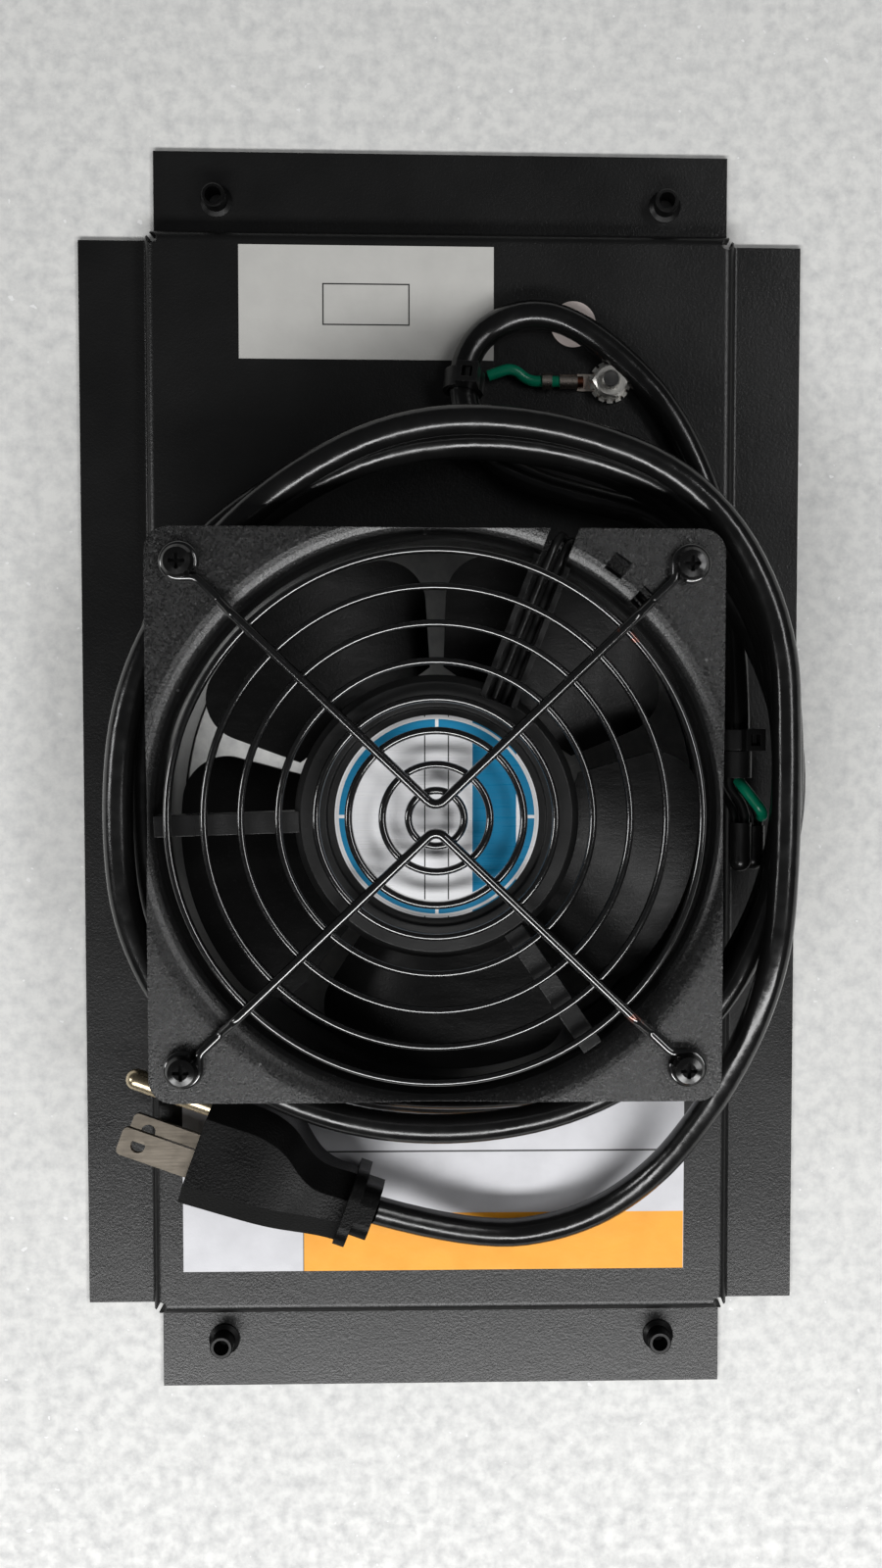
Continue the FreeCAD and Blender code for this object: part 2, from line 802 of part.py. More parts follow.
def make_ring_terminal():
    """Ring tongue, wire barrel and insulation grip of one crimped terminal, pointing to -X."""
    z0 = panel_top + press_gap
    x, y = stud_at
    axis_z = z0 + grip_r
    tongue_plate = cylinder(tongue_r, z0, z0 + tongue, x, y)
    neck = block(x - barrel_from, x, y - 1.9, y + 1.9, z0, z0 + tongue)
    seam = block(x - grip_from - grip_length, x - barrel_from + 0.6, y - 1.0, y + 1.0, z0, z0 + tongue)
    barrel = Part.makeCylinder(barrel_r, barrel_length, Vector(x - barrel_from, y, axis_z), Vector(-1, 0, 0))
    grip = Part.makeCylinder(grip_r, grip_length, Vector(x - grip_from, y, axis_z), Vector(-1, 0, 0))
    terminal = tongue_plate.fuse([neck, seam, barrel, grip])
    terminal = terminal.cut(cylinder(stud_r + seat_gap, z0 - 1, z0 + 2, x, y))
    hole_start = Vector(x - barrel_from + strand_length + press_gap, y, axis_z)
    wire_hole = Part.makeCylinder(ground_wire_r + press_gap, grip_from + grip_length, hole_start,
                                  Vector(-1, 0, 0))
    return terminal.cut(wire_hole)


def make_ground_washer():
    z0 = panel_top + tongue + 2 * press_gap
    washer_solid = ring(washer_r, stud_r + seat_gap, z0, z0 + washer, *stud_at)
    teeth = 14
    for index in range(teeth):
        notch = block(washer_r - 0.8, washer_r + 1, -0.35, 0.35, z0 - 1, z0 + 2)
        washer_solid = washer_solid.cut(moved(turned(notch, index * 360.0 / teeth), *stud_at))
    return washer_solid


def make_ground_nut():
    z0 = panel_top + tongue + washer + 3 * press_gap
    x, y = stud_at
    corner_r = nut_across / 2 / math.cos(math.pi / 6)
    points = [Vector(x + corner_r * math.cos(math.pi / 3 * k), y + corner_r * math.sin(math.pi / 3 * k), z0)
              for k in range(6)]
    nut = Part.Face(Part.makePolygon(points + points[:1])).extrude(Vector(0, 0, nut_height))
    dome = revolved([(0, z0 - 1), (corner_r + 1, z0 - 1), (corner_r + 1, z0 + nut_height - 1.2),
                     (nut_across / 2 - 0.3, z0 + nut_height + 0.01), (0, z0 + nut_height + 0.01)], x, y)
    return nut.common(dome).cut(cylinder(stud_r + seat_gap, z0 - 1, z0 + nut_height + 1, x, y))


def make_ground_wire():
    x, y = stud_at
    z = panel_top + press_gap + grip_r
    points = [
        (tie_one[0] + cord_r + tie_band + 0.6, tie_one[1] + 2.2, z + 0.5),
        (16.0, y + 2.9, z + 1.0),
        (x - grip_from - grip_length - 3.2, y, z),
        (x - barrel_from + strand_length, y, z),
    ]
    return tube(points, ground_wire_r)


# ---------------------------------------------------------------- labels
def sheet_label(place, z0):
    x, y, width, height = place
    return block(x, x + width, y, y + height, z0, z0 + film)


def make_panel_label():
    face = sheet_label(panel_label_box, panel_top + press_gap)
    return face.cut(sheet_label(panel_band_box, panel_top + press_gap))


# ---------------------------------------------------------------- cord
cord_from_plug = [
    (plug_at[0], plug_at[1], plug_z),
    (8.0, -103.7, 13.6),
    (31.0, -101.0, 11.2),
    (48.0, -89.0, 12.5),
    (59.5, -72.0, 17.5),
    (67.0, -54.5, 24.5),
    (72.0, -35.0, 31.5),
    (73.2, -19.0, 34.6),
]
cord_to_splice = [
    (5.4, 77.5, 16.2),
    (4.9, 93.8, 11.7),
    (16.2, 105.2, cord_bed),
    (32.8, 106.0, cord_bed),
    (46.0, 95.4, cord_bed),
    (57.2, 77.0, cord_bed),
    (65.2, 52.0, cord_bed),
    (66.0, 35.0, 11.8),
    (cord_end[0], 20.0, cord_end[2]),
    cord_end,
]


def ellipse_prism(centre, half, z0, z1):
    ellipse = Part.Ellipse(Vector(0, 0, z0), max(half), min(half)).toShape()
    prism = Part.Face(Part.Wire(ellipse)).extrude(Vector(0, 0, z1 - z0))
    if half[1] > half[0]:
        prism = turned(prism, 90)
    return moved(prism, *centre)


def make_cord_coil():
    """The coiled cord as one closed ring, hollowed where its own tail and the splice pass.

    Each end of the cord meets the flat floor of a pocket in the ring.
    """
    outer = ellipse_prism(coil_centre, coil_half, coil_rear, coil_front)
    outer = outer.makeFillet(cord_r, outer.Edges[:1] + outer.Edges[2:3])
    coil = outer.cut(cylinder(coil_eye_r, coil_rear - 1, coil_front + 1, *coil_eye_centre))
    coil = coil.cut(tube(cord_to_splice[4:], cord_r + cord_gap))
    for route in (cord_to_splice[:3], cord_from_plug[-5:]):
        coil = coil.cut(tube(route, cord_r + cord_gap))
    start = Vector(cord_end[0], tie_two[1] + tie_width, cord_end[2])
    pocket = Part.makeCylinder(splice_pocket_r, start.y - cap_end + cap_r, start, Vector(0, -1, 0))
    return coil.cut(pocket)


def make_tie(place, lean):
    """A cable tie round the cord to the splice: a band, its ratchet head and the cut end inside it."""
    centre, direction = on_route(cord_to_splice, *place)
    inner = cord_r + tie_gap
    head_x, head_y, head_z = tie_head
    top = inner + head_z
    along = Vector(0, 1, 0)
    band = Part.makeCylinder(inner + tie_band, tie_width, along * (-tie_width / 2), along)
    head = block(tie_head_shift - head_x / 2, tie_head_shift + head_x / 2, -head_y / 2, head_y / 2, 0, top)
    half = tie_window / 2
    window = block(tie_head_shift - half, tie_head_shift + half, -half, half,
                   top - tie_window_depth, top + 1)
    end = block(tie_head_shift - tie_band / 2, tie_head_shift + tie_band / 2, -half, half, inner,
                top - tie_end_below)
    head = turned(head.cut(window).fuse(end), lean, Vector(0, 0, 0), along)
    tie = band.fuse(head)
    tie = tie.cut(Part.makeCylinder(inner, tie_width * 4, along * (-tie_width * 2), along))
    side = direction.cross(Z_AXIS)
    if side.x < 0:
        side = -side
    side.normalize()
    up = side.cross(direction)
    if up.z < 0:
        up = -up
    up.normalize()
    turn = FreeCAD.Rotation(side, up.cross(side), up, "XZY")
    tie.Placement = FreeCAD.Placement(centre, turn)
    return tie


def make_splice_sleeve():
    """Shrunk sleeve over the cut end of the cord's jacket."""
    x, y, z = cord_end
    down = Vector(0, -1, 0)
    start = Vector(x, tie_two[1] - tie_width / 2 - cord_gap, z)
    sleeve = Part.makeCylinder(cord_r + press_gap + sleeve_wall, sleeve_length, start, down)
    jacket = Part.makeCylinder(cord_r + press_gap, sleeve_length + 2, start + Vector(0, 1, 0), down)
    return sleeve.cut(jacket)


def make_crimp_caps():
    """Closed-end crimp caps, mouths towards the cord's end."""
    caps = []
    down = Vector(0, -1, 0)
    for place in cap_places:
        start = Vector(*place)
        straight = start.y - cap_end - cap_r
        cap = Part.makeCylinder(cap_r, straight, start, down)
        cap = cap.fuse(Part.makeSphere(cap_r, start + down * straight))
        mouth = Part.makeCylinder(cap_r - cap_wall, cap_mouth + 1, start - down, down)
        caps.append(cap.cut(mouth))
    return caps


def make_cord_conductors():
    """The cord's two cores, from the jacket's end into the caps."""
    x, y, z = cord_end
    cores = []
    for place, offset in zip(cap_places, (-1.2, 1.2)):
        cores.append(tube([
            (x + offset, y - press_gap, z - 1.2),
            (x + offset, y - 2.8, z - 1.2),
            (place[0] + core_in_cap, place[1] + 3.4, place[2]),
            (place[0] + core_in_cap, place[1] - cap_mouth + 0.3, place[2]),
        ], conductor_r))
    return cores


def make_splice_ground_wire():
    """The cord's earth core, bent out of the splice and down between the turns."""
    x, y, z = cord_end
    return tube([
        (x + 0.5, y - 1.2, z + 1.4),
        (x + 1.4, y - 2.6, z + 3.2),
        (x + 5.3, y - 7.6, z + 3.6),
        (x + 6.0, y - 9.0, z + 1.4),
        (x + 6.0, y - 9.3, z - 0.4),
    ], ground_wire_r)


def make_fan_leads():
    """The motor's two leads: along the strut's trough, over the flange's edge and round to the caps."""
    leads = []
    trough = fan_front - channel_depth + channel_floor + lead_r + press_gap
    notch_r = fan_half + lead_over
    side_r = fan_half + lead_side
    for place, side in zip(cap_places, (-1, 1)):
        gap = side * lead_pitch / 2
        leads.append(tube([
            tuple(polar(channel_inner[0] + 0.4, channel_inner[1] + side * 2.3, trough)),
            tuple(polar(notch_r, channel_outer[1] - 0.6 + side * 1.1, trough)),
            tuple(polar(notch_r, 63.6 + side * 1.2, lead_heights[0])),
            tuple(polar(side_r + gap, 48.0, lead_heights[1])),
            tuple(polar(side_r + gap, 34.0, lead_heights[2])),
            (fan_half + 2.15 + gap, 24.0, lead_heights[3]),
            (fan_half + 2.85 + gap, 12.0, lead_heights[4]),
            (fan_half + 2.85 + gap, 3.0, lead_heights[4]),
            (place[0] - lead_in_cap, place[1] + 2.0, place[2]),
            (place[0] - lead_in_cap, place[1] - cap_mouth + 0.3, place[2]),
        ], lead_r))
    return leads


# ---------------------------------------------------------------- plug
def to_plug(shape):
    """Place a shape drawn along +X from the cord's exit, with +Y across and +Z up."""
    return moved(turned(shape, plug_turn), plug_at[0], plug_at[1], plug_z)


def plug_slab(start, end, half, corner):
    """A slab across the plug's axis with rounded corners, half wide and as high as the plug allows."""
    half_z = min(half + 1.0, plug_half_height)
    slab = block(start, end, -half, half, -half_z, half_z)
    long_edges = [edge for edge in slab.Edges if abs(edge.tangentAt(edge.FirstParameter).x) > 0.99]
    return slab.makeFillet(corner, long_edges)


def plug_section(s, low, high, half_z):
    """A chamfered section of the plug's body at s along its axis."""
    across, upright = plug_chamfer
    corners = [
        (low, -half_z + upright), (low + across, -half_z),
        (high - across, -half_z), (high, -half_z + upright),
        (high, half_z - upright), (high - across, half_z),
        (low + across, half_z), (low, half_z - upright),
    ]
    points = [Vector(s, t, z) for t, z in corners]
    return Part.makePolygon(points + points[:1])


def make_plug_body():
    """Moulded body, wide where it holds the ground pin, with a finger collar and an end barrel."""
    body = Part.makeLoft([plug_section(*section) for section in plug_sections], True, False)
    room = 2 * plug_half_height
    body = body.common(block(0, plug_length, -room, room, -plug_half_height, plug_half_height))
    body = body.fuse([plug_slab(*plug_collar), plug_slab(*plug_barrel)])
    slot_half = blade_thick / 2 + press_gap
    for side in (-1, 1):
        z = side * blade_gap / 2
        pocket = block(plug_length - blade_in - press_gap, plug_length + 1,
                       -blade_offset - blade_width / 2 - press_gap,
                       -blade_offset + blade_width / 2 + press_gap, z - slot_half, z + slot_half)
        body = body.cut(pocket)
    pin_start = Vector(plug_length - ground_pin_in - press_gap, -blade_offset - ground_pin_offset, 0)
    pin_hole = Part.makeCylinder(ground_shank_r + press_gap, ground_pin_in + 1, pin_start, Vector(1, 0, 0))
    return to_plug(body.cut(pin_hole))


def make_plug_blades():
    blades = []
    for side in (-1, 1):
        z = side * blade_gap / 2
        tip = plug_length + blade_out
        blade = block(plug_length - blade_in, tip, -blade_offset - blade_width / 2,
                      -blade_offset + blade_width / 2, z - blade_thick / 2, z + blade_thick / 2)
        corners = [edge for edge in blade.Edges if edge.BoundBox.XMin > tip - 0.01
                   and edge.BoundBox.ZLength > 0.5]
        blade = blade.makeFillet(1.2, corners)
        hole = cylinder(blade_hole_r, z - 2, z + 2, tip - blade_hole_from_tip, -blade_offset)
        blades.append(to_plug(blade.cut(hole)))
    return blades


def make_ground_pin():
    """Round pin with a domed tip, on a thinner shank that the body holds."""
    along = Vector(1, 0, 0)
    root = Vector(plug_length - ground_pin_in, -blade_offset - ground_pin_offset, 0)
    shoulder = root + along * (ground_pin_in + ground_shoulder)
    wall = ground_pin_out - ground_shoulder - ground_pin_r
    shank = Part.makeCylinder(ground_shank_r, ground_pin_in + ground_shoulder + 1, root, along)
    pin = Part.makeCylinder(ground_pin_r, wall, shoulder, along)
    nose = Part.makeSphere(ground_pin_r, shoulder + along * wall)
    return to_plug(shank.fuse([pin, nose]))


# ---------------------------------------------------------------- nodes
save("tray", make_tray())
save("standoffs", make_standoffs())
save("fan_frame", make_fan_frame())
save("bearing_tube", make_bearing_tube())
save("ball_bearings", [make_bearing(rear_bearing), make_bearing(front_bearing)])
save("stator_core", make_stator_core())
save("stator_windings", make_stator_windings())
save("rotor_cup", make_rotor_cup())
save("rotor_cage", make_rotor_cage())
save("shaft", make_shaft())
save("retaining_ring", make_retaining_ring())
save("preload_spring", make_preload_spring())
save("impeller", make_impeller())
save("guard_rings", make_guard_rings())
save("guard_rods", make_guard_rods())
save("guard_screws", make_guard_screws())
save("fan_mount_screws", make_fan_mount_screws())
save("motor_label", cylinder(motor_label_r, fan_front - label_recess + press_gap,
                             fan_front - label_recess + press_gap + film, 0, fan_y))
save("ground_stud", make_ground_stud())
save("ring_terminal", make_ring_terminal())
save("ground_washer", make_ground_washer())
save("ground_nut", make_ground_nut())
save("ground_wire", make_ground_wire())
save("rating_label", sheet_label(rating_label_box, panel_top + press_gap))
save("panel_label", make_panel_label())
save("panel_label_band", sheet_label(panel_band_box, panel_top + press_gap))
save("round_sticker", cylinder(sticker_r, panel_top + press_gap, panel_top + press_gap + film, *sticker_at))
coil = make_cord_coil()
plug_body = make_plug_body()
save("cord_coil", coil)
save("power_cord", tube(cord_from_plug, cord_r).cut(plug_body))
save("cord_tail", tube(cord_to_splice, cord_r))
print("bends from the plug", bend_radii(cord_from_plug), "to the splice", bend_radii(cord_to_splice))
save("cable_tie_1", make_tie(tie_one, -8))
save("cable_tie_2", make_tie(tie_two, 20))
save("splice_sleeve", make_splice_sleeve())
save("crimp_caps", make_crimp_caps())
save("cord_conductors", make_cord_conductors())
save("splice_ground_wire", make_splice_ground_wire())
save("fan_leads", make_fan_leads())
save("plug_body", plug_body)
save("plug_blades", make_plug_blades())
save("ground_pin", make_ground_pin())
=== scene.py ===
"""Looks of the rack fan tray: finishes on the CAD nodes, the cord as a spline, light, camera."""
import math

import bpy
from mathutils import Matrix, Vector


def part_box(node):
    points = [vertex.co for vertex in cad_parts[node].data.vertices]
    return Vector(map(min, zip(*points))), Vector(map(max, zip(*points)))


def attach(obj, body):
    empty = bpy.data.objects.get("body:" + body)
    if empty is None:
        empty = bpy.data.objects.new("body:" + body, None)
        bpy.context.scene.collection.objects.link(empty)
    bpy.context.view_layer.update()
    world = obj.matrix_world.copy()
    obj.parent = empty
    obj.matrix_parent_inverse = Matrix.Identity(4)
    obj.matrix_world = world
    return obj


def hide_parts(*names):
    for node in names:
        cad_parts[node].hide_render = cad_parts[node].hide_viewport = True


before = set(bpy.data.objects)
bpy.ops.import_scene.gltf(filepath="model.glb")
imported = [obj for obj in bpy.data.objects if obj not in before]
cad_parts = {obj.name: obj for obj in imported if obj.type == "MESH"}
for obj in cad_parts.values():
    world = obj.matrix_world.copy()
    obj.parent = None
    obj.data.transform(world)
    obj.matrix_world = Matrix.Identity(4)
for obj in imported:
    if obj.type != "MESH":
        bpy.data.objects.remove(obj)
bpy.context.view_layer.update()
MM = 0.001  # scene units are metres

fan_low, fan_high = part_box("fan_frame")
fan_centre = ((fan_low[0] + fan_high[0]) / 2, (fan_low[1] + fan_high[1]) / 2)


# ---------------------------------------------------------------- shader building
bevel_samples = 4


class Shader:
    """A node material under construction: each call adds nodes and gives back a socket."""

    def __init__(self, name):
        self.material = bpy.data.materials.new(name)
        self.material.use_nodes = True
        self.nodes = self.material.node_tree.nodes
        self.links = self.material.node_tree.links
        self.surface = self.nodes["Principled BSDF"]
        self.place = self.nodes.new("ShaderNodeTexCoord").outputs["Object"]

    def join(self, value, socket):
        """Link a socket, or set a plain value."""
        if isinstance(value, bpy.types.NodeSocket):
            self.links.new(value, socket)
        else:
            socket.default_value = value

    def set(self, **values):
        """Principled inputs by name, with _ for a space."""
        for name, value in values.items():
            self.join(value, self.surface.inputs[name.replace("_", " ")])

    def math(self, operation, a, b=0.0, c=0.0):
        node = self.nodes.new("ShaderNodeMath")
        node.operation = operation
        for value, socket in zip((a, b, c), node.inputs):
            self.join(value, socket)
        return node.outputs[0]

    def noise(self, size, detail=2.0, roughness=0.5, place=None):
        """Noise whose blobs are about size metres across."""
        node = self.nodes.new("ShaderNodeTexNoise")
        node.inputs["Scale"].default_value = 1 / size
        node.inputs["Detail"].default_value = detail
        node.inputs["Roughness"].default_value = roughness
        self.links.new(place or self.place, node.inputs["Vector"])
        return node.outputs["Fac"]

    def cells(self, size):
        """A random value for each cell of about size metres."""
        node = self.nodes.new("ShaderNodeTexVoronoi")
        node.inputs["Scale"].default_value = 1 / size
        self.links.new(self.place, node.inputs["Vector"])
        split = self.nodes.new("ShaderNodeSeparateColor")
        self.links.new(node.outputs["Color"], split.inputs[0])
        return split.outputs[0]

    def spread(self, value, low, high, to_low=0.0, to_high=1.0):
        """Value mapped from low..high to to_low..to_high, and clamped there."""
        node = self.nodes.new("ShaderNodeMapRange")
        self.join(value, node.inputs["Value"])
        for name, number in (("From Min", low), ("From Max", high),
                             ("To Min", to_low), ("To Max", to_high)):
            node.inputs[name].default_value = number
        return node.outputs["Result"]

    def blend(self, factor, a, b):
        """Colour a where factor is 0 and b where it is 1."""
        node = self.nodes.new("ShaderNodeMix")
        node.data_type = "RGBA"
        self.join(factor, node.inputs["Factor"])
        # a mix node lists its sockets for every data type; these are the colour ones
        self.join(a, node.inputs[6])
        self.join(b, node.inputs[7])
        return node.outputs[2]

    def bump(self, *layers, edge=0.0):
        """Height layers as (height socket, depth in metres), over edges rounded by edge metres."""
        normal = None
        if edge:
            rounded = self.nodes.new("ShaderNodeBevel")
            rounded.samples = bevel_samples
            rounded.inputs["Radius"].default_value = edge
            normal = rounded.outputs["Normal"]
        for height, depth in layers:
            node = self.nodes.new("ShaderNodeBump")
            node.inputs["Distance"].default_value = depth
            self.links.new(height, node.inputs["Height"])
            if normal:
                self.links.new(normal, node.inputs["Normal"])
            normal = node.outputs["Normal"]
        self.links.new(normal, self.surface.inputs["Normal"])

    def axes(self):
        """X, Y and Z of the place."""
        node = self.nodes.new("ShaderNodeSeparateXYZ")
        self.links.new(self.place, node.inputs[0])
        return node.outputs[0], node.outputs[1], node.outputs[2]

    def stretched(self, x, y, z):
        """The place with each axis scaled, for grain that runs one way."""
        node = self.nodes.new("ShaderNodeMapping")
        node.inputs["Scale"].default_value = (x, y, z)
        self.links.new(self.place, node.inputs["Vector"])
        return node.outputs[0]

    def near(self, value, centre, half_width):
        """1 where value is within half_width of centre."""
        return self.math("COMPARE", value, centre, half_width)

    def inside(self, value, low, high):
        """1 where value is between low and high."""
        return self.near(value, (low + high) / 2, (high - low) / 2)

    def pick(self, chosen, a, b):
        """Number a where chosen is 0 and b where it is 1."""
        return self.math("MULTIPLY_ADD", chosen, self.math("SUBTRACT", b, a), a)

    def fan_axes(self):
        """X and Y measured from the fan's axis."""
        x, y, _ = self.axes()
        return self.math("SUBTRACT", x, fan_centre[0]), self.math("SUBTRACT", y, fan_centre[1])

    def from_axis(self):
        """Distance from the fan's axis."""
        x, y = self.fan_axes()
        squares = self.math("ADD", self.math("MULTIPLY", x, x), self.math("MULTIPLY", y, y))
        return self.math("SQRT", squares)


def grey(level):
    return (level, level, level, 1)


def colour(red, green, blue):
    """A linear colour from sRGB 0-255."""
    def linear(v):
        v /= 255
        return v / 12.92 if v <= 0.04045 else ((v + 0.055) / 1.055) ** 2.4
    return (linear(red), linear(green), linear(blue), 1)


# ---------------------------------------------------------------- finishes
def powder_coat():
    """Satin black powder coat: fine orange peel, cloudy sheen, a few dusty scuffs."""
    s = Shader("powder_black")
    peel = s.noise(0.5 * MM, 3, 0.6)
    dimples = s.noise(2.2 * MM, 2)
    cloud = s.noise(22 * MM, 4)
    scratch = s.noise(9 * MM, 2, place=s.stretched(1, 0.08, 1))
    scuff = s.spread(scratch, 0.70, 0.78)
    black = s.blend(cloud, grey(0.0040), grey(0.0070))
    s.set(Base_Color=s.blend(s.math("MULTIPLY", scuff, 0.15), black, grey(0.05)),
          Roughness=s.spread(cloud, 0.3, 0.7, 0.29, 0.35), Specular_IOR_Level=0.5)
    s.bump((peel, 0.06 * MM), (dimples, 0.02 * MM), edge=0.2 * MM)
    return s.material


def cast_coat():
    """Coarse black coat on the cast frame's flanges, finer on the motor base and its struts."""
    duct_lip, flange = 57 * MM, 66 * MM
    strut_end, duct_wall = 46 * MM, 54 * MM
    s = Shader("fan_black")
    sand = s.noise(0.4 * MM, 4, 0.7)
    lumps = s.noise(1.6 * MM, 2)
    cloud = s.noise(14 * MM, 3)
    chips = s.noise(3.2 * MM, 2, 0.4)
    outside = s.spread(s.from_axis(), duct_lip, flange)
    chipped = s.math("MULTIPLY", s.math("GREATER_THAN", chips, 0.765), outside)
    black = s.blend(cloud, grey(0.0045), grey(0.0090))
    glint = s.spread(s.cells(0.42 * MM), 0.1, 0.9, 0.16, 0.38)
    fine = s.math("ADD", s.spread(cloud, 0.3, 0.7, 0.20, 0.27),
                  s.spread(s.from_axis(), strut_end, duct_wall, 0.09, 0))
    # painted highlights: tiny cells on the flanges are painted lighter grey in the base colour,
    # standing in for glints on the coarse coat
    specks = s.math("MULTIPLY", s.spread(s.cells(0.33 * MM), 0.93, 1.0, 0, 0.5), outside)
    black = s.blend(specks, black, grey(0.12))
    s.set(Base_Color=s.blend(chipped, black, grey(0.16)),
          Roughness=s.pick(outside, fine, glint), Specular_IOR_Level=0.6)
    coarse = s.math("MULTIPLY", sand, s.spread(outside, 0, 1, 0.35, 1.0))
    s.bump((coarse, 0.11 * MM), (lumps, 0.025 * MM), edge=0.25 * MM)
    return s.material


def moulded_black(name, level, roughness, grain_size, grain_depth, gloss=0.5, edge=0.3 * MM):
    """Black plastic or enamel with its own grain."""
    s = Shader(name)
    grain = s.noise(grain_size, 3)
    cloud = s.noise(8 * MM, 2)
    s.set(Base_Color=s.blend(cloud, grey(level * 0.75), grey(level * 1.3)),
          Roughness=s.spread(cloud, 0.3, 0.7, roughness - 0.05, roughness + 0.06),
          Specular_IOR_Level=gloss)
    s.bump((grain, grain_depth), edge=edge)
    return s.material


def guard_wire():
    """Dipped gloss black, chipped to coppery metal in a few places near the steps in the rods."""
    step_x, step_y = (37 * MM, 43 * MM), (36 * MM, 43 * MM)
    s = Shader("guard_black")
    grain = s.noise(0.9 * MM, 3)
    chips = s.noise(5 * MM, 3, 0.6)
    x, y = s.fan_axes()
    steps = s.math("MULTIPLY", s.inside(x, *step_x), s.inside(s.math("ABSOLUTE", y), *step_y))
    worn = s.math("MULTIPLY", s.math("GREATER_THAN", chips, 0.57), steps)
    s.set(Base_Color=s.blend(worn, grey(0.004), colour(112, 72, 62)),
          Metallic=s.math("MULTIPLY", worn, 0.8), Specular_IOR_Level=0.9,
          Roughness=s.spread(grain, 0.3, 0.7, 0.12, 0.2), Coat_Weight=1.0, Coat_Roughness=0.08)
    s.bump((grain, 0.02 * MM))
    return s.material


def impeller_plastic():
    """Glass-filled black plastic: satin, finely specked, a little dust on it."""
    s = Shader("impeller_black")
    streaks = s.noise(1.6 * MM, 4, 0.6, place=s.stretched(0.25, 1, 1))
    specks = s.noise(0.6 * MM, 3, 0.7)
    cloud = s.noise(12 * MM, 3)
    dust = s.math("MULTIPLY", s.spread(specks, 0.60, 0.78), 0.2)
    s.set(Base_Color=s.blend(dust, s.blend(cloud, grey(0.003), grey(0.006)), grey(0.06)),
          Roughness=s.spread(streaks, 0.3, 0.7, 0.28, 0.38), Specular_IOR_Level=0.14)
    s.bump((specks, 0.05 * MM), (streaks, 0.04 * MM))
    return s.material


def metal(name, tint, roughness, grain=(1, 1, 0.05), grain_depth=0.01 * MM, tarnish=0.25,
          sawn_above=None):
    """Bare or plated metal with a fine grain and some tarnish, dull above a sawn end's height."""
    s = Shader(name)
    brushed = s.noise(0.4 * MM, 3, place=s.stretched(*grain))
    cloud = s.noise(4 * MM, 2)
    dark = tuple(v * 0.55 for v in tint[:3]) + (1,)
    if sawn_above is not None:
        tint = s.blend(s.math("GREATER_THAN", s.axes()[2], sawn_above), tint, grey(0.10))
    s.set(Base_Color=s.blend(s.math("MULTIPLY", s.spread(cloud, 0.45, 0.75), tarnish), tint, dark),
          Metallic=1.0, Roughness=s.spread(brushed, 0.3, 0.7, roughness - 0.03, roughness + 0.04))
    s.bump((brushed, grain_depth))
    return s.material


def laminations():
    """A stack of thin steel leaves, one on another along Z."""
    leaf_pitch = 0.5 * MM
    s = Shader("laminations")
    leaf = s.math("PINGPONG", s.math("MULTIPLY", s.axes()[2], 1 / leaf_pitch), 0.5)
    s.set(Base_Color=grey(0.16), Metallic=1.0, Roughness=0.45)
    s.bump((leaf, 0.1 * MM))
    return s.material


def windings():
    """Varnished copper wire laid side by side."""
    wire_pitch = 0.35 * MM
    s = Shader("copper")
    strand = s.math("PINGPONG", s.math("MULTIPLY", s.axes()[2], 1 / wire_pitch), 0.5)
    s.set(Base_Color=colour(150, 84, 48), Metallic=1.0, Roughness=0.32, Coat_Weight=0.4)
    s.bump((strand, 0.25 * MM))
    return s.material


def paper(name, tint, roughness=0.45):
    """A label under construction and its plain ground: slight unevenness under a film."""
    s = Shader(name)
    cloud = s.noise(6 * MM, 3)
    fibre = s.noise(0.4 * MM, 2)
    soiled = tuple(v * 0.90 for v in tint[:3]) + (1,)
    ground = s.blend(s.spread(cloud, 0.35, 0.75), tint, soiled)
    s.set(Roughness=s.spread(cloud, 0.3, 0.7, roughness - 0.06, roughness + 0.06))
    s.bump((fibre, 0.012 * MM), (cloud, 0.08 * MM))
    return s, ground


def plain_label(name, tint):
    """Film of one colour."""
    s, ground = paper(name, tint)
    s.set(Base_Color=ground)
    return s.material


def rating_label():
    """Silver film with one empty ruled box."""
    s, ground = paper("silver_label", colour(198, 197, 193), 0.38)
    low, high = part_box("rating_label")
    x, y, _ = s.axes()
    left, right = low[0] + 18.8 * MM, low[0] + 38.0 * MM
    bottom, top = low[1] + 7.7 * MM, low[1] + 16.7 * MM
    line = 0.16 * MM
    sides = s.math("MULTIPLY", s.math("MAXIMUM", s.near(x, left, line), s.near(x, right, line)),
                   s.inside(y, bottom - line, top + line))
    ends = s.math("MULTIPLY", s.math("MAXIMUM", s.near(y, bottom, line), s.near(y, top, line)),
                  s.inside(x, left - line, right + line))
    ink = s.math("MAXIMUM", sides, ends)
    s.set(Base_Color=s.blend(ink, ground, grey(0.03)), Metallic=0.15)
    return s.material


def panel_label():
    """White film ruled into fields by thin dark lines; the round sticker, at +Y, is yellowed."""
    s, ground = paper("white_label", colour(214, 214, 218))
    band_low, band_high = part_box("panel_label_band")
    x, y, _ = s.axes()
    line = 0.2 * MM
    field_height = 14.4 * MM
    upright = s.near(x, band_low[0], line)
    field = band_high[1] + field_height
    across = s.math("MULTIPLY", s.near(y, field, line), s.math("GREATER_THAN", x, band_low[0]))
    aged = s.blend(s.math("GREATER_THAN", y, 0.0), ground, colour(226, 213, 208))
    s.set(Base_Color=s.blend(s.math("MAXIMUM", upright, across), aged, grey(0.04)))
    return s.material


